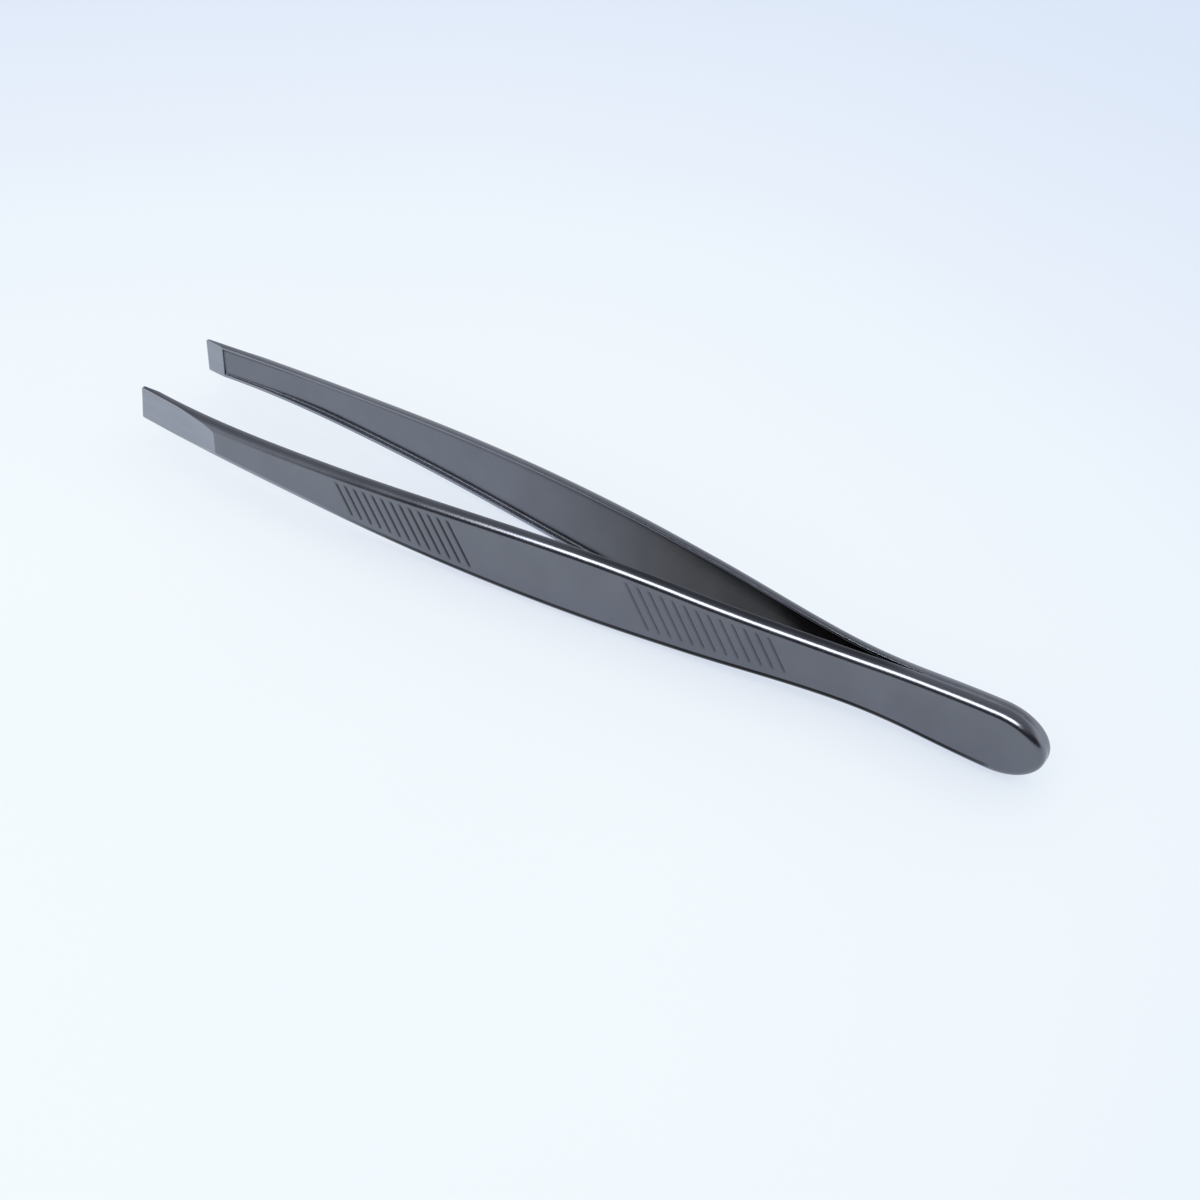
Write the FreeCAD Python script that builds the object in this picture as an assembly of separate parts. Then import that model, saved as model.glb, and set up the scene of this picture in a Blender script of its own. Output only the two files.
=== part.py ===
import FreeCAD, Part
import math
import os
from FreeCAD import Vector

# Flat-tip spring tweezers: two stamped channel-section steel halves welded rim to rim at the butt.
# Millimetres. X runs along the length, butt at +X and tips at -X. Y is the opening direction, with
# the front half at -Y. Z is up, across the width of the arms, and the arms stand on their long edges.
# Stations are distances from the butt end, and knots are (station, value, slope).

# overall sizes
LENGTH = 95.0
BUTT_WIDTH = 7.04
BUTT_NOSE = 4.7
NECK_WIDTH = 5.96
GRIP_WIDTH = 7.66
TIP_WIDTH = 3.74
NECK_AT = 18.8
GRIP_AT = 44.0
TAPER_END_TO_TIP = 2.0

# the channel section of each half
SHEET = 0.68
ARM_DEPTH = 1.18
CORNER_R = 0.90
RIM_LAND = 0.35
HOLLOW_FOOT_R = 0.20

# the weld between the rims, and the place where each arm's bending is gathered into a hinge
WELD_LENGTH = 12.0
WELD_SEAM = 0.10
WELD_TO_HINGE = 3.0

# how the arms spread at rest, measured between the rims
SHOULDER_AT = 34.0
SHOULDER_GAP = 4.42
SHOULDER_SLOPE = 0.092
BELLY_TO_TIP = 24.0
BELLY_GAP = 10.18
BELLY_SLOPE = 0.02
TIP_GAP = 9.56
TIP_LEAN = -0.09

# the ground tip: a flat pad inside, and a tilted facet outside that runs out towards the grip
PAD_LENGTH = 2.2
PAD_CLEARANCE = 0.01
FACET_LENGTH = 10.0
FACET_FOOT = 0.80
FACET_TILT_DEG = 7.0
FACET_RUNOUT_DEG = 9.0
TIP_THICKNESS = 0.45

# pressed grip grooves, in two groups on the outer face of each arm
GROOVE_COUNT = 13
GROOVE_DEPTH = 0.12
GROOVE_WIDTH = 0.40
GROOVE_LEAN_DEG = 28.0
FORWARD_TO_TIP = 24.8
FORWARD_PITCH = 1.02
FORWARD_MARGINS = (0.95, 1.35)
REARWARD_AT = 25.9
REARWARD_PITCH = 1.15
REARWARD_MARGINS = (1.05, 1.75)

# where each arm is divided into shoulder, grip and tip: just past the rear grooves and past the front ones
SHOULDER_PAST_GROOVES = 1.3
TIP_STRETCH = 23.0

# how finely the lofted stretches are stationed, and how far a cutter runs past what it cuts
STATION_STEP = 3.0
OVERCUT = 1.0

MID_Z = GRIP_WIDTH / 2
PAD_AT = LENGTH - PAD_LENGTH
HINGE_AT = WELD_LENGTH + WELD_TO_HINGE
SHOULDER_END = REARWARD_AT + (GROOVE_COUNT - 1) * REARWARD_PITCH + SHOULDER_PAST_GROOVES
GRIP_END = LENGTH - TIP_STRETCH


def chain(s, knots):
    """A cubic chain through knots (station, value, slope), flat beyond its ends."""
    if s <= knots[0][0]:
        return knots[0][1]
    for (a, va, ma), (b, vb, mb) in zip(knots, knots[1:]):
        if s <= b:
            span = b - a
            t = (s - a) / span
            rise = t * t * (3 - 2 * t)
            start = ma * span * t * (1 - t) ** 2
            end = mb * span * t * t * (1 - t)
            return va + (vb - va) * rise + start - end
    return knots[-1][1] + knots[-1][2] * (s - knots[-1][0])


WIDTHS = [
    (BUTT_NOSE, BUTT_WIDTH, 0.0),
    (NECK_AT, NECK_WIDTH, 0.0),
    (GRIP_AT, GRIP_WIDTH, 0.0),
    (LENGTH - TAPER_END_TO_TIP, TIP_WIDTH, 0.0),
]

SPREAD_START = [
    (WELD_LENGTH, 0.0, 0.0),
    (SHOULDER_AT, (SHOULDER_GAP - WELD_SEAM) / 2, SHOULDER_SLOPE),
]


def closing_angle():
    """The turn about the hinge that brings the tip's inner edge to its clearance from mid-plane."""
    hinge_offset = WELD_SEAM / 2 + chain(HINGE_AT, SPREAD_START)
    reach = math.hypot(LENGTH - HINGE_AT, TIP_GAP / 2 - hinge_offset)
    open_part = math.asin((TIP_GAP / 2 - hinge_offset) / reach)
    closed_part = math.asin((hinge_offset - PAD_CLEARANCE) / reach)
    return open_part + closed_part


CLOSING = closing_angle()
PAD_HEEL = TIP_GAP / 2 - PAD_LENGTH * math.tan(CLOSING)
SPREAD = SPREAD_START + [
    (LENGTH - BELLY_TO_TIP, (BELLY_GAP - WELD_SEAM) / 2, BELLY_SLOPE),
    (PAD_AT, PAD_HEEL - WELD_SEAM / 2, TIP_LEAN),
]


def half_width(s):
    """Half the width of the arm across its long edges at a station."""
    return chain(s, WIDTHS) / 2


def rim(s):
    """Distance of the rim edge from the mid-plane at a station."""
    return WELD_SEAM / 2 + chain(s, SPREAD)


def at(s, depth, rise):
    """A point of the front half: depth outwards from its rim, rise from its centreline."""
    return Vector(LENGTH / 2 - s, -(rim(s) + depth), MID_Z + rise)


def line(a, b):
    return Part.LineSegment(a, b).toShape()


def quarter(s, centre, radius, start_deg, turn_deg):
    """A quarter round in the section at a station, from start_deg through turn_deg."""
    ends = []
    for deg in (start_deg, start_deg + turn_deg / 2, start_deg + turn_deg):
        angle = math.radians(deg)
        ends.append(at(s, centre[0] + radius * math.cos(angle), centre[1] + radius * math.sin(angle)))
    return Part.Arc(*ends).toShape()


def outside_edges(s):
    """The section's outside, from the lower rim round both rolled corners to the upper rim."""
    h = half_width(s)
    r = CORNER_R
    flank = ARM_DEPTH - r
    return [
        line(at(s, 0, -h), at(s, flank, -h)),
        quarter(s, (flank, r - h), r, -90, 90),
        line(at(s, ARM_DEPTH, r - h), at(s, ARM_DEPTH, h - r)),
        quarter(s, (flank, h - r), r, 0, 90),
        line(at(s, flank, h), at(s, 0, h)),
    ]


def solid_section(s):
    """The section where the halves are not hollow, as at the tip."""
    h = half_width(s)
    return Part.Wire(outside_edges(s) + [line(at(s, 0, h), at(s, 0, -h))])


def channel_section(s):
    """The stamped channel: the outside, the two rim lands and the hollow with its round feet."""
    h = half_width(s)
    w = h - RIM_LAND
    floor = ARM_DEPTH - SHEET
    r = HOLLOW_FOOT_R
    return Part.Wire(outside_edges(s) + [
        line(at(s, 0, h), at(s, 0, w)),
        line(at(s, 0, w), at(s, floor - r, w)),
        quarter(s, (floor - r, w - r), r, 90, -90),
        line(at(s, floor, w - r), at(s, floor, r - w)),
        quarter(s, (floor - r, r - w), r, 0, -90),
        line(at(s, floor - r, -w), at(s, 0, -w)),
        line(at(s, 0, -w), at(s, 0, -h)),
    ])


def spread_stations(a, b):
    """Evenly spaced stations from a to b, about a step apart."""
    count = max(2, round((b - a) / STATION_STEP))
    return [a + (b - a) * i / count for i in range(count + 1)]


def loft(section, a, b):
    """A section carried from station a to station b."""
    return Part.makeLoft([section(s) for s in spread_stations(a, b)], True, False)


def seam_section(s, side):
    """The weld between the upper or lower rim lands at a station."""
    outer = side * half_width(s)
    inner = side * (half_width(s) - RIM_LAND)
    x = LENGTH / 2 - s
    corners = [Vector(x, y, MID_Z + rise) for y, rise in (
        (-WELD_SEAM / 2, inner), (WELD_SEAM / 2, inner), (WELD_SEAM / 2, outer), (-WELD_SEAM / 2, outer))]
    return Part.makePolygon(corners + corners[:1])


def rounded_nose(face):
    """The upper half section turned half way round the nose, then drawn out to the nose's length."""
    x = LENGTH / 2 - BUTT_NOSE
    turned = face.revolve(Vector(x, 0, MID_Z), Vector(0, 1, 0), 180)
    stretch = FreeCAD.Matrix()
    stretch.scale(BUTT_NOSE / (BUTT_WIDTH / 2), 1, 1)
    turned.translate(Vector(-x, 0, 0))
    drawn = turned.transformGeometry(stretch)
    drawn.translate(Vector(x, 0, 0))
    return drawn


def channel_nose():
    """The closed, rounded end of the channel."""
    corner = Vector(LENGTH / 2 - BUTT_NOSE - OVERCUT / 2, -2 * ARM_DEPTH, MID_Z)
    upper = Part.makeBox(OVERCUT, 3 * ARM_DEPTH, BUTT_WIDTH, corner)
    return rounded_nose(Part.Face(channel_section(BUTT_NOSE)).common(upper).Faces[0])


def prism(points, height):
    """A flat outline in X and Y, drawn over the whole width of the arm."""
    base = [Vector(x, y, MID_Z - height / 2) for x, y in points]
    return Part.Face(Part.makePolygon(base + base[:1])).extrude(Vector(0, 0, height))


def past(a, b, distance):
    """The point a distance beyond b on the line from a to b."""
    step = (b - a).normalize()
    return b + step * distance


def pad_cutter():
    """What is ground off the inside of the tip, so that the closed pads lie parallel."""
    heel = Vector(LENGTH / 2 - PAD_AT, -PAD_HEEL, 0)
    toe = past(heel, Vector(-LENGTH / 2, -TIP_GAP / 2, 0), OVERCUT)
    inside = -PAD_HEEL + ARM_DEPTH
    return prism([(heel.x, heel.y), (toe.x, toe.y), (toe.x, inside), (heel.x, inside)], 2 * GRIP_WIDTH)


def facet_cutter():
    """What is ground off the outside of the tip: all that lies above both the facet and its run-out."""
    start = at(LENGTH - FACET_LENGTH, ARM_DEPTH, 0)
    foot_rise = FACET_FOOT * math.tan(math.radians(FACET_TILT_DEG))
    end = Vector(-LENGTH / 2, -(TIP_GAP / 2 + TIP_THICKNESS + foot_rise), MID_Z)
    toe = past(start, end, OVERCUT)
    outside = start.y - 2 * ARM_DEPTH
    tilted = prism([(start.x, start.y), (toe.x, toe.y), (toe.x, outside), (start.x, outside)], 4 * GRIP_WIDTH)
    tilted.rotate(start - Vector(0, 0, FACET_FOOT), end - start, FACET_TILT_DEG)
    drop = (start.x - toe.x) * math.tan(math.radians(FACET_RUNOUT_DEG))
    runout = prism([(start.x, start.y), (toe.x, start.y + drop), (toe.x, outside), (start.x, outside)],
                   2 * GRIP_WIDTH)
    return tilted.common(runout)


def groove_cutters(first, pitch, margins):
    """Round-bottomed grooves across the outer face, each leaning towards the tip at its top."""
    depth = GROOVE_DEPTH
    radius = (GROOVE_WIDTH ** 2 / 4 + depth ** 2) / (2 * depth)
    lean = math.tan(math.radians(GROOVE_LEAN_DEG))
    cutters = []
    for i in range(GROOVE_COUNT):
        s = first + i * pitch
        top = half_width(s) - margins[0]
        bottom = margins[1] - half_width(s)
        lift = ARM_DEPTH + radius - depth
        a = at(s, lift, top)
        b = at(s - lean * (top - bottom), lift, bottom)
        cutters.append(Part.makeCylinder(radius, (b - a).Length, a, b - a))
    return cutters


def with_true_planes(shape):
    """The same solid, with each face that lies flat across Y rebuilt from its edges as a plane."""
    faces = []
    for face in shape.Faces:
        if face.optimalBoundingBox().YLength < 1e-5:
            edges = [Part.Edge(e.Curve, e.FirstParameter, e.LastParameter) for e in face.OuterWire.OrderedEdges]
            face = Part.Face(Part.Wire(edges))
        faces.append(face)
    shell = Part.makeShell(faces)
    shell.sewShape()
    return Part.Solid(shell)


def butt_shell():
    """The butt of the front half, from its rounded end to the hinge, with a flat face over the weld."""
    welded = with_true_planes(loft(channel_section, BUTT_NOSE, WELD_LENGTH))
    neck = loft(channel_section, WELD_LENGTH, HINGE_AT)
    return channel_nose().fuse([welded, neck])


def arm():
    """The front arm, from the hinge to the tip."""
    tip = loft(solid_section, PAD_AT, LENGTH).cut(pad_cutter())
    blade = loft(channel_section, HINGE_AT, PAD_AT).fuse(tip).cut(facet_cutter())
    forward = groove_cutters(LENGTH - FORWARD_TO_TIP - (GROOVE_COUNT - 1) * FORWARD_PITCH,
                             FORWARD_PITCH, FORWARD_MARGINS)
    rearward = groove_cutters(REARWARD_AT, REARWARD_PITCH, REARWARD_MARGINS)
    return blade.cut(forward + rearward)


def between(shape, a, b):
    """The part of a shape that lies between two stations."""
    corner = Vector(LENGTH / 2 - b, -LENGTH, -LENGTH)
    return shape.common(Part.makeBox(b - a, 2 * LENGTH, 3 * LENGTH, corner))


def weld_seam():
    """The weld metal between the two rims, round the butt and open at its forward end."""
    nose = rounded_nose(Part.Face(seam_section(BUTT_NOSE, 1)))
    upper = loft(lambda s: seam_section(s, 1), BUTT_NOSE, WELD_LENGTH)
    lower = loft(lambda s: seam_section(s, -1), BUTT_NOSE, WELD_LENGTH)
    return nose.fuse([upper, lower])


def mirrored(shape):
    return shape.mirror(Vector(0, 0, 0), Vector(0, 1, 0))


def single_solid(name, shape):
    """The one solid of a finished piece."""
    if len(shape.Solids) != 1 or not shape.isValid():
        raise ValueError(name + " is not one sound solid")
    return shape.Solids[0]


pieces = {"weld_seam": weld_seam()}
front_arm = arm()
front_pieces = {
    "butt_shell": butt_shell(),
    "shoulder": between(front_arm, HINGE_AT - OVERCUT, SHOULDER_END),
    "grip": between(front_arm, SHOULDER_END, GRIP_END),
    "tip": between(front_arm, GRIP_END, LENGTH + OVERCUT),
}
for name, shape in front_pieces.items():
    pieces["front_" + name] = shape
    pieces["rear_" + name] = mirrored(shape)

os.makedirs("parts", exist_ok=True)
for name, shape in pieces.items():
    solid = single_solid(name, shape)
    solid.exportStep("parts/" + name + ".step")
    box = solid.optimalBoundingBox()
    print(name, "volume %.2f" % solid.Volume, "x %.3f %.3f" % (box.XMin, box.XMax),
          "y %.3f %.3f" % (box.YMin, box.YMax), "z %.3f %.3f" % (box.ZMin, box.ZMax))
print("closing angle %.4f deg" % math.degrees(CLOSING), "hinge x %.3f" % (LENGTH / 2 - HINGE_AT),
      "hinge y %.5f" % rim(HINGE_AT), "pad heel %.4f" % PAD_HEEL)
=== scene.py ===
import math
import bmesh
import bpy
import numpy as np
from mathutils import Matrix, Vector


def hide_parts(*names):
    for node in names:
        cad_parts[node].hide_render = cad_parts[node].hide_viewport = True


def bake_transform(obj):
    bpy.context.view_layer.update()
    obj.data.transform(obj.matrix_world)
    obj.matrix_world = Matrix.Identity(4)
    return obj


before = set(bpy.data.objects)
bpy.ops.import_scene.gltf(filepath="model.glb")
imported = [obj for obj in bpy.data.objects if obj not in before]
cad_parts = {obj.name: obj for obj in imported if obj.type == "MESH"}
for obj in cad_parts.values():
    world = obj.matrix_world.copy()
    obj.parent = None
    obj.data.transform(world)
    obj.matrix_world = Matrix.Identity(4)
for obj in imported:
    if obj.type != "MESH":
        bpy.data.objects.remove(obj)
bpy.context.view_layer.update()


# The viewpoint: above the tips and off to the front, looking along the tweezers towards their butt
# through a short telephoto lens. Colours are shown as they are rendered.
azimuth = math.radians(30.757)
elevation = math.radians(41.699)
roll = math.radians(2.316)
looked_at = Vector((0.003448, -0.000784, 0))
distance = 0.2083
across = Vector((math.cos(azimuth), math.sin(azimuth), 0))
ahead = Vector((-math.sin(azimuth) * math.cos(elevation), math.cos(azimuth) * math.cos(elevation),
                -math.sin(elevation)))
upward = across.cross(ahead)
camera_right = across * math.cos(roll) + upward * math.sin(roll)
camera_top = upward * math.cos(roll) - across * math.sin(roll)
lens = bpy.data.cameras.new("view")
lens.sensor_width = 36
lens.lens = 67.39
lens.clip_start = 0.005
camera = bpy.data.objects.new("view", lens)
turn = Matrix((camera_right, camera_top, -ahead)).transposed().to_4x4()
camera.matrix_world = Matrix.Translation(looked_at - ahead * distance) @ turn
bpy.context.scene.collection.objects.link(camera)
bpy.context.scene.camera = camera
bpy.context.scene.view_settings.view_transform = "Standard"


# The table: a wide sheet of smooth, slightly bluish white paper that the tweezers lie on. Most of
# its brightness is a glow of its own, as on a light table, so shadows on it stay faint.
class Signal:
    """A socket in the node tree of a material or of the world, with arithmetic that adds Math nodes
    to that tree."""

    def __init__(self, tree, socket):
        self.tree = tree
        self.socket = socket

    def make(self, kind, settings, inputs, output=0):
        """A node in the same tree: its settings first, then its sockets' values or links."""
        node = self.tree.nodes.new(kind)
        for name, value in settings.items():
            setattr(node, name, value)
        for name, value in inputs.items():
            if isinstance(value, Signal):
                self.tree.links.new(value.socket, node.inputs[name])
            else:
                node.inputs[name].default_value = value
        return Signal(self.tree, node.outputs[output])

    def maths(self, operation, first, second):
        """A Math node that does one operation on two values."""
        return self.make("ShaderNodeMath", {"operation": operation}, {0: first, 1: second})

    def __add__(self, other):
        return self.maths("ADD", self, other)

    def __radd__(self, other):
        return self.maths("ADD", other, self)

    def __sub__(self, other):
        return self.maths("SUBTRACT", self, other)

    def __rsub__(self, other):
        return self.maths("SUBTRACT", other, self)

    def __mul__(self, other):
        return self.maths("MULTIPLY", self, other)

    def __rmul__(self, other):
        return self.maths("MULTIPLY", other, self)

    def between(self, low, high):
        """0 below low, 1 above high, and a smooth rise from one to the other."""
        return self.make("ShaderNodeMapRange", {"interpolation_type": "SMOOTHSTEP"},
                         {"Value": self, "From Min": low, "From Max": high})


def mixed(factor, first, second):
    """The first colour where factor is 0 and the second where it is 1. Sockets 6 and 7 of a Mix
    node are its two colours, and output 2 is the colour between them."""
    return factor.make("ShaderNodeMix", {"data_type": "RGBA"}, {"Factor": factor, 6: first, 7: second}, 2)


table_reach = 3
table_level = -2e-5
# The paper's colour holds a painted pool of light: paper_near at its brightest place and paper_far
# 0.2 m away from it, going most of the way back to paper_near beyond that, with a faint cloud over it all.
paper_near = (0.895, 0.945, 0.985, 1)
paper_far = (0.70, 0.78, 0.93, 1)
light_pool_centre = (-0.011, -0.041, 0)
paper_lit = (0.34, 0.32, 0.22)
paper_own_light = (0.645, 0.665, 0.765)
table_mesh = bpy.data.meshes.new("table")
table_corners = [(x * table_reach, y * table_reach, table_level)
                 for x, y in ((-1, -1), (1, -1), (1, 1), (-1, 1))]
table_mesh.from_pydata(table_corners, [], [(0, 1, 2, 3)])
table = bpy.data.objects.new("table", table_mesh)
bpy.context.scene.collection.objects.link(table)
paper = bpy.data.materials.new("table paper")
paper.use_nodes = True
paper_face = paper.node_tree.nodes["Principled BSDF"]
paper_face.inputs["Roughness"].default_value = 0.9
paper_face.inputs["Specular IOR Level"].default_value = 0.1
paper_at = Signal(paper.node_tree, paper.node_tree.nodes.new("ShaderNodeTexCoord").outputs["Object"])
paper_cloud = paper_at.make("ShaderNodeTexNoise", {}, {"Vector": paper_at, "Scale": 9.0, "Detail": 3.0})
paper_off = paper_at.make("ShaderNodeVectorMath", {"operation": "DISTANCE"},
                          {0: paper_at, 1: light_pool_centre}, 1)
light_pool_and_cloud = (paper_off.between(0.03, 0.20) * (1 - paper_off.between(0.22, 0.6) * 0.7)
              + (paper_cloud - 0.5) * 0.2)
paper_tone_and_light_pool = mixed(light_pool_and_cloud, paper_near, paper_far)
paper_dim = paper_at.make("ShaderNodeVectorMath", {"operation": "MULTIPLY"},
                          {0: paper_tone_and_light_pool, 1: paper_lit})
paper_glow = paper_at.make("ShaderNodeVectorMath", {"operation": "MULTIPLY"},
                           {0: paper_tone_and_light_pool, 1: paper_own_light})
paper.node_tree.links.new(paper_dim.socket, paper_face.inputs["Base Color"])
paper.node_tree.links.new(paper_glow.socket, paper_face.inputs["Emission Color"])
paper_face.inputs["Emission Strength"].default_value = 1.0
table_mesh.materials.append(paper)


# The light: an even pale dome, and for reflections a softbox in front of the object, above it, and
# a room that is bright behind and to the left, darker overhead and nearly black at the right front.
softbox = bpy.data.lights.new("softbox", "AREA")
softbox.shape = "RECTANGLE"
softbox.size = 0.40
softbox.size_y = 0.21
softbox.energy = 2.1
softbox.color = (0.98, 0.99, 1.0)
softbox_place = bpy.data.objects.new("softbox", softbox)
softbox_from = Vector((0.0, -0.31, 0.39))
softbox_place.matrix_world = (Matrix.Translation(softbox_from)
                              @ softbox_from.to_track_quat("Z", "X").to_matrix().to_4x4()
                              @ Matrix.Rotation(math.radians(90), 4, "Z"))
softbox_place.visible_diffuse = False
bpy.context.scene.collection.objects.link(softbox_place)

dome = (1.06, 1.08, 1.09, 1)
bright_wall = (0.90, 0.93, 0.97, 1)
dark_wall = (0.075, 0.07, 0.078, 1)
ceiling = (0.35, 0.36, 0.39, 1)
room = bpy.data.worlds.new("room")
bpy.context.scene.world = room
room.use_nodes = True
room.cycles.sampling_method = "NONE"
room_nodes = room.node_tree
room_air = room_nodes.nodes["Background"]
direction = Signal(room_nodes, room_nodes.nodes.new("ShaderNodeTexCoord").outputs["Generated"])
right, back, height = (direction.make("ShaderNodeSeparateXYZ", {}, {"Vector": direction}, axis)
                       for axis in range(3))
shut = right.between(-0.62, -0.46) * (1 - back.between(-0.35, 0.15))
reflected = mixed(height.between(0.35, 0.80), mixed(shut, bright_wall, dark_wall), ceiling)
glossy = Signal(room_nodes, room_nodes.nodes.new("ShaderNodeLightPath").outputs["Is Glossy Ray"])
room_tone = mixed(glossy, dome, reflected)
room_nodes.links.new(room_tone.socket, room_air.inputs["Color"])


# The front half: one strip of stainless steel, stamped to a shallow channel with rolled corners,
# bowed outwards, pressed with two groups of grip grooves, and ground to a thin square tip.
# It is one sheet from the rounded butt to the tip, across the place where the CAD model has its hinge.
# Sizes are in millimetres. A station s is a distance from the butt's end, and a rise v is a height
# above the arm's centreline.
length = 95.0
middle = 3.83
nose = 4.7
butt_width = 7.04
sheet_depth = 1.18
corner = 0.90
land = 0.35
hollow_depth = 0.5
hollow_at_pad = 0.2
hollow_foot = 0.20
rim_gap = 0.05
weld_end = 12
pad_at = 92.8
pad_length = 2.2
pad_inside = 4.6488
pad_rise = 0.1312
pad_step = 0.06
tip_inside = 4.78
tip_thickness = 0.45
tip_low = 0.8
tip_corner = 0.3
tip_round = 0.06
tip_half = 0.25
facet_at = 85.0
runout = math.tan(math.radians(9))
tilt = math.tan(math.radians(7))
lean_angle = math.radians(28)
lean = math.tan(lean_angle)

# The arm's width, and how far its rim has left the weld, as knots of station, value and slope.
widths = [(nose, butt_width, 0), (18.8, 5.96, 0), (44, 7.66, 0), (93, 3.74, 0)]
spread = [(weld_end, 0, 0), (34, 2.16, 0.092), (71, 5.04, 0.02), (pad_at, 4.5988, -0.09)]

# A groove group is its first groove's station at the top, the pitch, and the bare margins at the
# top and at the bottom of the arm.
rear_group = (25.9, 1.15, 1.05, 1.75)
front_group = (57.96, 1.02, 0.95, 1.35)
groove_count = 13
groove_depth = 0.12
groove_half = 0.21
groove_fade = 0.45

# The last row of each stretch of the section, from the web's middle to the hollow's middle, and
# the number of rows in all.
web_end = 18
corner_end = 28
flank_end = 30
edge_end = 33
rim_end = 34
lip_end = 37
foot_end = 44
ring_rows = 50

# Most of these marks carry painted shade and highlight, on the grooves, the rims, the hollow's corners,
# the inside towards the butt and the rolled edges; the ground mark is the tip's own finish.
mark_names = ("ground", "pressed", "rim_highlight", "inside", "foot", "edge")


def chained(s, knots):
    """A curve through knots (station, value, slope). Between two knots it is the cubic with their
    values and slopes; before the first it stays flat, and past the last it keeps the last slope."""
    out = np.full(s.shape, float(knots[0][1]))
    for (a, va, ma), (b, vb, mb) in zip(knots, knots[1:]):
        t = np.clip((s - a) / (b - a), 0, 1)
        rise = t * t * (3 - 2 * t)
        bend = (b - a) * t * (1 - t) * (ma * (1 - t) - mb * t)
        out = np.where(s > a, va + (vb - va) * rise + bend, out)
    return out + knots[-1][2] * np.maximum(s - knots[-1][0], 0)


def half_width(s):
    """Half the arm's width at a station, less the small round at the two corners of the tip."""
    past = np.clip(s - (length - tip_corner), 0, tip_corner)
    return chained(s, widths) / 2 - (tip_corner - np.sqrt(tip_corner ** 2 - past ** 2)) * 0.6


def rim(s):
    """The rim's distance from the mid-plane at a station."""
    return rim_gap + chained(s, spread)


web_at_facet = float(rim(np.array(facet_at))) + sheet_depth
tip_outside = tip_inside + tip_thickness + tip_low * tilt


def ground_depth(s, v):
    """How far out the ground facet lies from the mid-plane: a tilted plane, deeper towards the top,
    met near its start by a run-out plane that leaves the web at 9 degrees. The outer one counts."""
    along = (s - facet_at) / (length - facet_at)
    tilted = web_at_facet + (tip_outside - web_at_facet) * along - (v + tip_low) * tilt
    running_out = web_at_facet - (s - facet_at) * runout
    return np.where(s > facet_at, np.maximum(tilted, running_out), 99)


def groove(s, v, first, pitch, top_margin, bottom_margin):
    """The depth of one group of 13 grooves: each is a straight line leaning 28 degrees, its cross
    section a smooth bell 0.42 wide and 0.12 deep, fading to nothing over its last 0.45."""
    reach = chained(s, widths) / 2
    nearest = np.clip(np.round((s + lean * (reach - top_margin - v) - first) / pitch), 0, groove_count - 1)
    start = first + nearest * pitch
    rise = chained(start, widths) / 2
    off = (s - start + lean * (rise - top_margin - v)) * math.cos(lean_angle)
    bell = np.clip(1 - (off / groove_half) ** 2, 0, 1) ** 1.5
    end = np.minimum(rise - top_margin - v, v + rise - bottom_margin)
    ends = np.clip(end / groove_fade + 0.15, 0, 1)
    return groove_depth * bell * np.sqrt(ends * (2 - ends))


def rounding(s):
    """The round on the rim's edges: 0.012 where it is welded, growing to 0.05 past the weld."""
    return 0.012 + 0.038 * chained(s, [(weld_end, 0, 0), (20, 1, 0)])


def hollow(s):
    """The hollow's depth: 0.5 along the arm, running out to 0.2 where it meets the tip's pad."""
    return hollow_depth - (hollow_depth - hollow_at_pad) * chained(s, [(80, 0, 0), (pad_at, 1, 0)])


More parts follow.
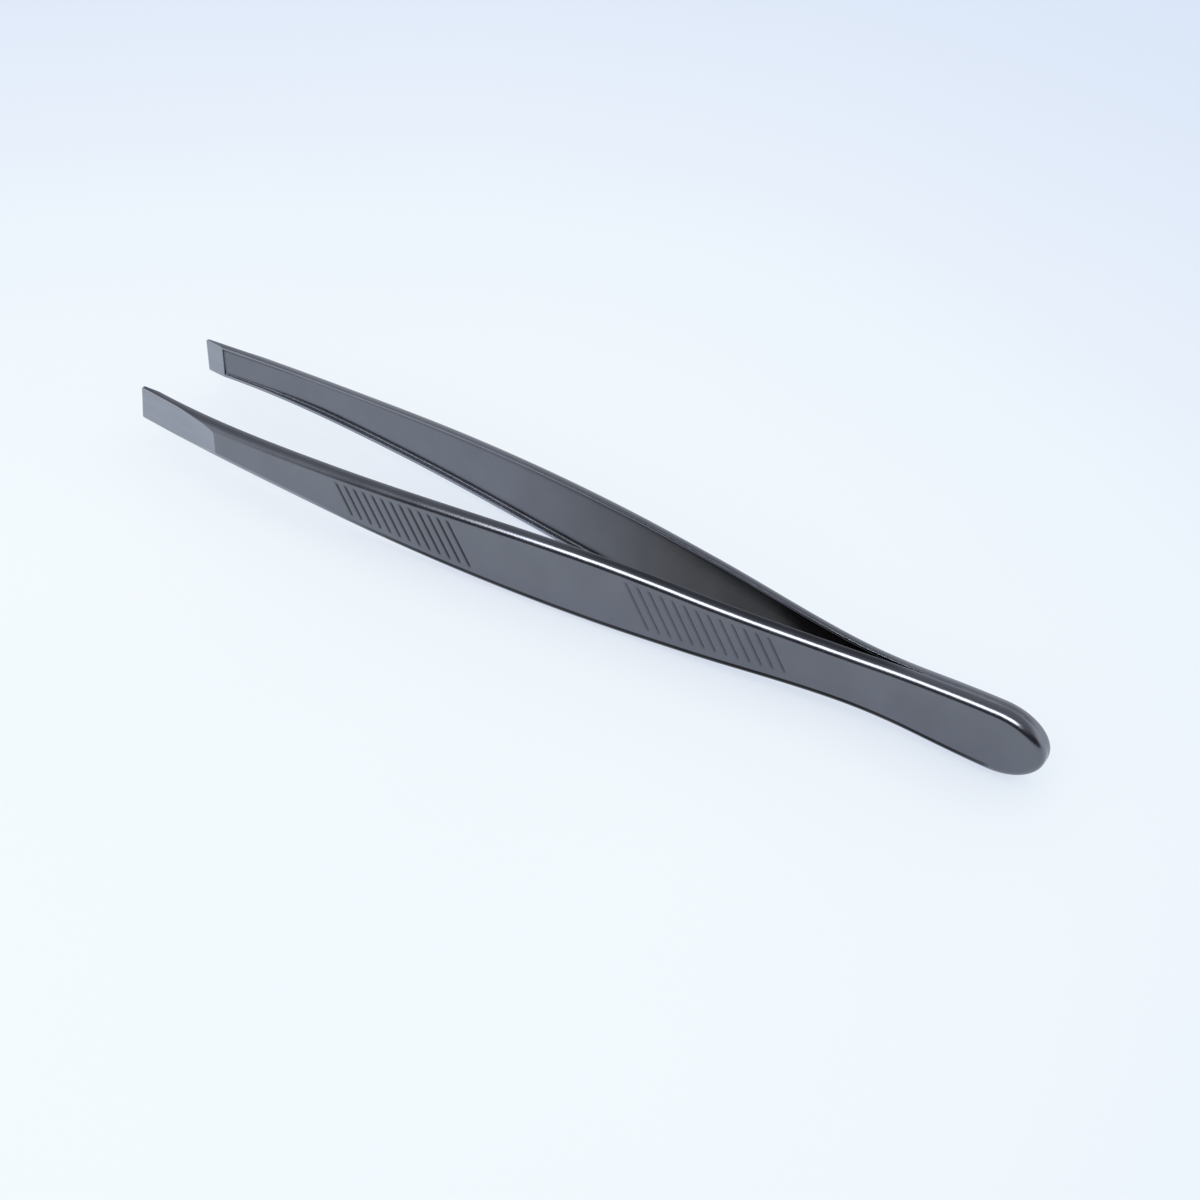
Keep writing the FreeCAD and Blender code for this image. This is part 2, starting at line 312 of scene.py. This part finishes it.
def half_ring(s, side):
    """Depth u and rise v of half the section, from the web's middle round the corner, the flank, the
    rim's land and the hollow to the hollow's middle. side is 1 above the centreline and -1 below.
    s is a column of stations or a grid of them; rows run along the first axis."""
    h = half_width(s)
    edge = rim(s)
    low = np.zeros(s.shape[1:])
    high = np.full(s.shape[1:], math.pi / 2)
    at_web = s[web_end]
    for _ in range(30):
        guess = (low + high) / 2
        v = half_width(at_web) - corner + corner * np.sin(guess)
        u = sheet_depth - corner + corner * np.cos(guess)
        above = rim(at_web) + u > ground_depth(at_web, side * v)
        low = np.where(above, guess, low)
        high = np.where(above, high, guess)
    meet = np.where(at_web > facet_at, low, 0)
    rows_u = []
    rows_v = []
    flat = half_width(at_web) - corner + corner * np.sin(meet)
    for k in range(web_end + 1):
        v = flat * (k / web_end) + h[k] - half_width(at_web)
        rows_v.append(v if k > 0 else 0 * v)
        rows_u.append(np.minimum(sheet_depth, ground_depth(s[k], side * rows_v[-1]) - edge[k]))
    for k in range(web_end + 1, corner_end + 1):
        angle = meet + (math.pi / 2 - meet) * (k - web_end) / (corner_end - web_end)
        rows_v.append(h[k] - corner + corner * np.sin(angle))
        rows_u.append(sheet_depth - corner + corner * np.cos(angle))
    e = rounding(s)
    w = h - land
    deep = hollow(s)
    lip = np.minimum((3 if side > 0 else 1) * e, deep * 0.45)
    foot = np.minimum(hollow_foot, deep * 0.5)
    for k, share in zip(range(corner_end + 1, flank_end + 1), (0.5, 1.0)):
        rows_v.append(h[k])
        rows_u.append((sheet_depth - corner) * (1 - share) + e[k] * share)
    for k, deg in zip(range(flank_end + 1, edge_end + 1), (30, 60, 90)):
        rows_v.append(h[k] - e[k] * (1 - math.cos(math.radians(deg))))
        rows_u.append(e[k] * (1 - math.sin(math.radians(deg))))
    rows_v.append(w[rim_end] + lip[rim_end])
    rows_u.append(0 * h[rim_end])
    for k, deg in zip(range(rim_end + 1, lip_end + 1), (30, 60, 88)):
        rows_v.append(w[k] + lip[k] * (1 - math.sin(math.radians(deg))))
        rows_u.append(lip[k] * (1 - math.cos(math.radians(deg))))
    for k, deg in zip(range(lip_end + 1, foot_end + 1), (90, 75, 60, 45, 30, 15, 0)):
        rows_v.append(w[k] - foot[k] + foot[k] * math.sin(math.radians(deg)))
        rows_u.append(deep[k] - foot[k] + foot[k] * math.cos(math.radians(deg)))
    for k, share in zip(range(foot_end + 1, ring_rows), (0.8, 0.6, 0.4, 0.2, 0.0)):
        rows_v.append((w[k] - foot[k]) * share)
        rows_u.append(deep[k])
    return np.array(rows_u), np.array(rows_v) * side


def placed(s, u, v):
    """Points of the front half in metres: depth outwards from the rim is -Y, rise is +Z. The pad
    fills the hollow past its step, and the last 0.06 of the tip is drawn in to a small round."""
    pad = pad_inside + (s - pad_at) * (pad_rise / pad_length) - rim(s)
    filled = np.clip((s - (pad_at - pad_step)) / pad_step, 0, 1) ** 2
    inner = np.where(s > pad_at, np.maximum(u, pad), u)
    recess = np.arange(ring_rows)[:, None] > rim_end
    stepped = recess & (s > pad_at - pad_step)
    inner = np.where(stepped, u * (1 - filled) + np.maximum(pad, 0) * filled, inner)
    late = np.clip(s - (length - tip_round), 0, tip_round)
    drawn = tip_round - np.sqrt(tip_round ** 2 - late ** 2)
    centre = (pad + ground_depth(s, v * 0) - rim(s)) / 2
    inner = np.where(late > 0, centre + (inner - centre) * (1 - drawn / tip_half), inner)
    return np.stack([(length / 2 - s) / 1000, -(rim(s) + inner) / 1000, (middle + v) / 1000], axis=-1)


def edge_tone(s, row, side, mirror):
    """How much painted highlight (above 0) or painted shade (below 0) the rolled edges get. The
    lower edge has painted shade from the butt to the grip, in place of the reflected shade under
    the arm, and a painted highlight past it, towards the tip. The upper edge has a painted highlight
    over the weld, and on the front half painted shade from there to the grip."""
    if side < 0:
        tone = chained(s, [(2, -0.4, 0), (10, -0.8, 0), (62, -0.8, 0), (76, 0.45, 0)])
        return tone * np.clip(row - web_end + 1, 0, 1) * np.clip((corner_end - 1 - row) / 4, 0, 1)
    dark = -0.45 if mirror > 0 else 0
    tone = chained(s, [(weld_end, 0.35, 0), (16, dark, 0), (40, dark, 0), (50, 0, 0)])
    return tone * np.clip((row - corner_end + 4) / 3, 0, 1) * (row <= lip_end)


def stations():
    """Columns of the mesh: the station of each at the centreline, and how much it leans. In the two
    groove groups a pitch has 14 columns and they lean with the grooves; outside them the lean fades
    over 5 or 6. Columns stand closest at the pad's step and at the tip."""
    per_pitch = 14
    spare = 10
    groups = []
    for first, pitch, top_margin, _ in (rear_group, front_group):
        tops = first + pitch * np.arange(-spare, per_pitch * groove_count + spare) / per_pitch
        groups.append(tops - lean * (chained(tops, widths) / 2 - top_margin))
    rear, forward = groups
    columns = np.concatenate([
        np.linspace(nose, weld_end, 19)[:-1],
        np.linspace(weld_end, rear[0], 34)[:-1],
        rear,
        np.linspace(rear[-1], forward[0], 42)[1:-1],
        forward,
        np.linspace(forward[-1], facet_at - 0.1, 40)[1:-1],
        np.linspace(facet_at - 0.1, pad_at - 0.2, 62)[:-1],
        pad_at - np.array([0.2, 0.12, 0.06, 0.05, 0.04, 0.03, 0.02, 0.01, 0.0]),
        np.linspace(pad_at, length - 0.4, 14)[1:-1],
        length - tip_corner * np.cos(np.linspace(0.2, math.pi / 2, 14))[:-1],
        length - np.array([0.045, 0.03, 0.02, 0.01, 0.003, 0.0])])
    columns = np.unique(np.round(columns, 5))
    steep = chained(columns, [
        (rear[0] - 5, 0, 0), (rear[0], 1, 0), (rear[-1], 1, 0), (rear[-1] + 6, 0, 0),
        (forward[0] - 6, 0, 0), (forward[0], 1, 0), (forward[-1], 1, 0), (forward[-1] + 6, 0, 0)])
    return columns, steep


def half_mesh(name, mirror):
    """The whole half as one closed mesh: rings of the section along the arm, a nose made by turning
    the upper half section half way round the butt, and a cap over the tip. mirror is -1 for the rear.
    Each point carries the marks that the metal is shaded by, in the order of mark_names. The front
    groove group also shows very faintly through the steel, on the hollow's floor."""
    columns, steep = stations()
    base = np.tile(columns, (ring_rows, 1))
    row = np.arange(ring_rows)[:, None]
    web = row <= web_end
    sides = []
    marks = []
    for side in (1, -1):
        s = base + steep * half_ring(base, side)[1] * lean
        u, v = half_ring(s, side)
        forward = groove(s, v, *front_group)
        rearward = groove(s, v, *rear_group)
        u = u - np.where(web, forward + rearward, 0) - np.where(row > foot_end, 0.07 * forward, 0)
        sides.append(placed(s, u, v))
        short_of_pad = s < pad_at
        # The rims, and on the lower side the hollow's lip and lower wall, get a painted highlight.
        last_highlit_row, highlight_strength = (rim_end, 1.0) if side > 0 else (foot_end - 3, 1.8)
        # The hollow's corners get painted shade, strongest on the upper side.
        before_foot, how_dark = (rim_end, 1.0) if side > 0 else (foot_end - 2, 0.4)
        marks.append(np.stack([
            (web & (s > facet_at - 0.01)) | ((row > flank_end) & (s > pad_at)),
            np.where(web, forward / groove_depth + 0.4 * rearward / groove_depth, 0),
            ((row >= flank_end) & (row <= last_highlit_row) & short_of_pad) * highlight_strength,
            (row > lip_end) & short_of_pad,
            ((row > before_foot) & (row <= foot_end) & short_of_pad) * how_dark,
            edge_tone(s, row, side, mirror)], axis=-1) * 1.0)
    upper, lower = sides
    ring = np.concatenate([upper, lower[-2:0:-1]])
    mark = np.concatenate([marks[0], marks[1][-2:0:-1]])
    rows, cols = ring.shape[:2]
    points = [ring.reshape(-1, 3)]
    values = [mark.reshape(-1, len(mark_names))]
    index = np.arange(rows * cols).reshape(rows, cols)
    after = np.roll(index, -1, axis=0)
    faces = [np.stack([index[:, :-1], after[:, :-1], after[:, 1:], index[:, 1:]], -1).reshape(-1, 4)]

    turns = 49
    u, v = half_ring(np.full((ring_rows, 1), nose), 1)
    angles = np.linspace(0, math.pi, turns)
    swept = np.stack([
        length / 2 - nose + v * np.sin(angles) * nose / (butt_width / 2),
        np.broadcast_to(-(rim_gap + u), (ring_rows, turns)),
        middle + v * np.cos(angles)], axis=-1) / 1000
    points.append(swept.reshape(-1, 3))
    values.append(np.repeat(marks[0][:, :1], turns, axis=1).reshape(-1, len(mark_names)))
    cap = rows * cols + np.arange(ring_rows * turns).reshape(ring_rows, turns)
    faces.append(np.stack([cap[:-1, 1:], cap[1:, 1:], cap[1:, :-1], cap[:-1, :-1]], -1).reshape(-1, 4))

    mesh = bpy.data.meshes.new(name)
    corners = np.concatenate(points) * (1, mirror, 1)
    quads = np.concatenate(faces)
    tip_end = index[:, -1]
    if mirror < 0:
        quads = quads[:, ::-1]
        tip_end = tip_end[::-1]
    mesh.from_pydata(corners, [], quads.tolist() + [tip_end.tolist()])
    all_marks = np.concatenate(values).astype(np.float32)
    for column, mark_name in enumerate(mark_names):
        attribute = mesh.attributes.new(mark_name, "FLOAT", "POINT")
        attribute.data.foreach_set("value", np.ascontiguousarray(all_marks[:, column]))
    return mesh


def closed_piece(name, mesh):
    """A piece from a mesh whose coincident points are merged and whose faces point outwards."""
    work = bmesh.new()
    work.from_mesh(mesh)
    bmesh.ops.remove_doubles(work, verts=work.verts, dist=1e-7)
    bmesh.ops.dissolve_degenerate(work, edges=work.edges, dist=1e-8)
    bmesh.ops.recalc_face_normals(work, faces=work.faces)
    work.to_mesh(mesh)
    work.free()
    mesh.shade_smooth()
    mesh.set_sharp_from_angle(angle=math.radians(38))
    piece = bpy.data.objects.new(name, mesh)
    bpy.context.scene.collection.objects.link(piece)
    return piece


def satin_steel(name, tone, roughness):
    """Tumbled stainless steel: a cool grey metal with a faint cloudy tone, hairline scratches in
    three directions, a fine pebbled bump, painted shade in the grooves and a paler, finely lined
    ground tip. The rims and the hollow's lower wall get a painted highlight, the hollow's corners
    painted shade, and the inside a browner painted shade between the halves towards the butt; the
    edges take the painted highlight and shade of edge_tone, and the whole gets a little painted
    shade towards the butt."""
    steel = bpy.data.materials.new(name)
    steel.use_nodes = True
    tree = steel.node_tree
    face = tree.nodes["Principled BSDF"]
    face.inputs["Metallic"].default_value = 1.0
    at = Signal(tree, tree.nodes.new("ShaderNodeTexCoord").outputs["Object"])
    ground, pressed, rim_highlight, inside, foot, edge = (
        at.make("ShaderNodeAttribute", {"attribute_name": mark_name}, {}, 2) for mark_name in mark_names)
    along = at.make("ShaderNodeSeparateXYZ", {}, {"Vector": at}, 0)
    cloud = at.make("ShaderNodeTexNoise", {}, {"Vector": at, "Scale": 260.0, "Detail": 4.0})
    pebble = at.make("ShaderNodeTexNoise", {}, {"Vector": at, "Scale": 5200.0, "Detail": 3.0})
    scratches = 0.0
    for spin, stretch in ((0.2, 4200.0), (-0.7, 5600.0), (1.3, 4800.0)):
        laid = at.make("ShaderNodeMapping", {}, {
            "Vector": at, "Rotation": (0.3 * spin, spin, 0.15), "Scale": (90.0, stretch, stretch)})
        line = at.make("ShaderNodeTexNoise", {}, {"Vector": laid, "Scale": 1.0, "Detail": 1.0})
        scratches = scratches + line.between(0.64, 0.74)
    lay = at.make("ShaderNodeMapping", {}, {"Vector": at, "Scale": (300.0, 300.0, 9000.0)})
    stone = at.make("ShaderNodeTexNoise", {}, {"Vector": lay, "Scale": 1.0, "Detail": 2.0})
    # The grooves get painted shade by their depth, except on the ground tip.
    depth = pressed * (1 - ground)
    # Painted shade between the halves, where their insides close in towards the butt; it also turns the
    # metal browner there.
    between_halves_shade = inside * along.between(-0.014, 0.024)
    # Painted shade over the whole, a little darker towards the butt.
    butt_shade = along.between(-0.035, 0.02) * 0.19
    # The edge mark adds the rolled edges' painted highlight and shade.
    shade = (1.06 - butt_shade + (cloud - 0.5) * 0.25 - depth * 0.78 - foot * 0.6 - between_halves_shade * 0.62
             + rim_highlight * 0.35 + edge + ground * (0.75 + (stone - 0.5) * 0.5))
    browner = (tone[0] * 1.1, tone[1], tone[2] * 0.82, 1)
    metal = mixed(between_halves_shade, (*tone, 1), browner)
    colour = at.make("ShaderNodeVectorMath", {"operation": "SCALE"}, {0: metal, "Scale": shade})
    tree.links.new(colour.socket, face.inputs["Base Color"])
    rough = (roughness + (cloud - 0.5) * 0.10 + scratches * 0.03 + ground * (0.12 + (stone - 0.5) * 0.1)
             + depth * 0.06)
    tree.links.new(rough.socket, face.inputs["Roughness"])
    relief = pebble * (1 - ground * 0.7) + scratches * 0.25 + stone * ground * 1.2
    bump = at.make("ShaderNodeBump", {}, {"Height": relief, "Strength": 0.16, "Distance": 0.00002})
    tree.links.new(bump.socket, face.inputs["Normal"])
    return steel


satin = satin_steel("satin steel", (0.178, 0.186, 0.214), 0.2)
front_half = closed_piece("front_half", half_mesh("front half", 1))
front_half.data.materials.append(satin)
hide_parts("front_butt_shell", "front_shoulder", "front_grip", "front_tip")
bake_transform(front_half)


# The rear half: the same stamped strip, turned to face the other way and welded rim to rim. It is
# the front half's mirror image.
rear_half = closed_piece("rear_half", half_mesh("rear half", -1))
rear_half.data.materials.append(satin)
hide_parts("rear_butt_shell", "rear_shoulder", "rear_grip", "rear_tip")
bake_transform(rear_half)


# The weld: a thin line of weld metal between the two rims round the butt, ground flush with them
# and polished. It keeps the mesh of the CAD model.
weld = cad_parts["weld_seam"]
weld.data.materials.clear()
weld.data.materials.append(satin_steel("weld metal", (0.200, 0.207, 0.235), 0.24))
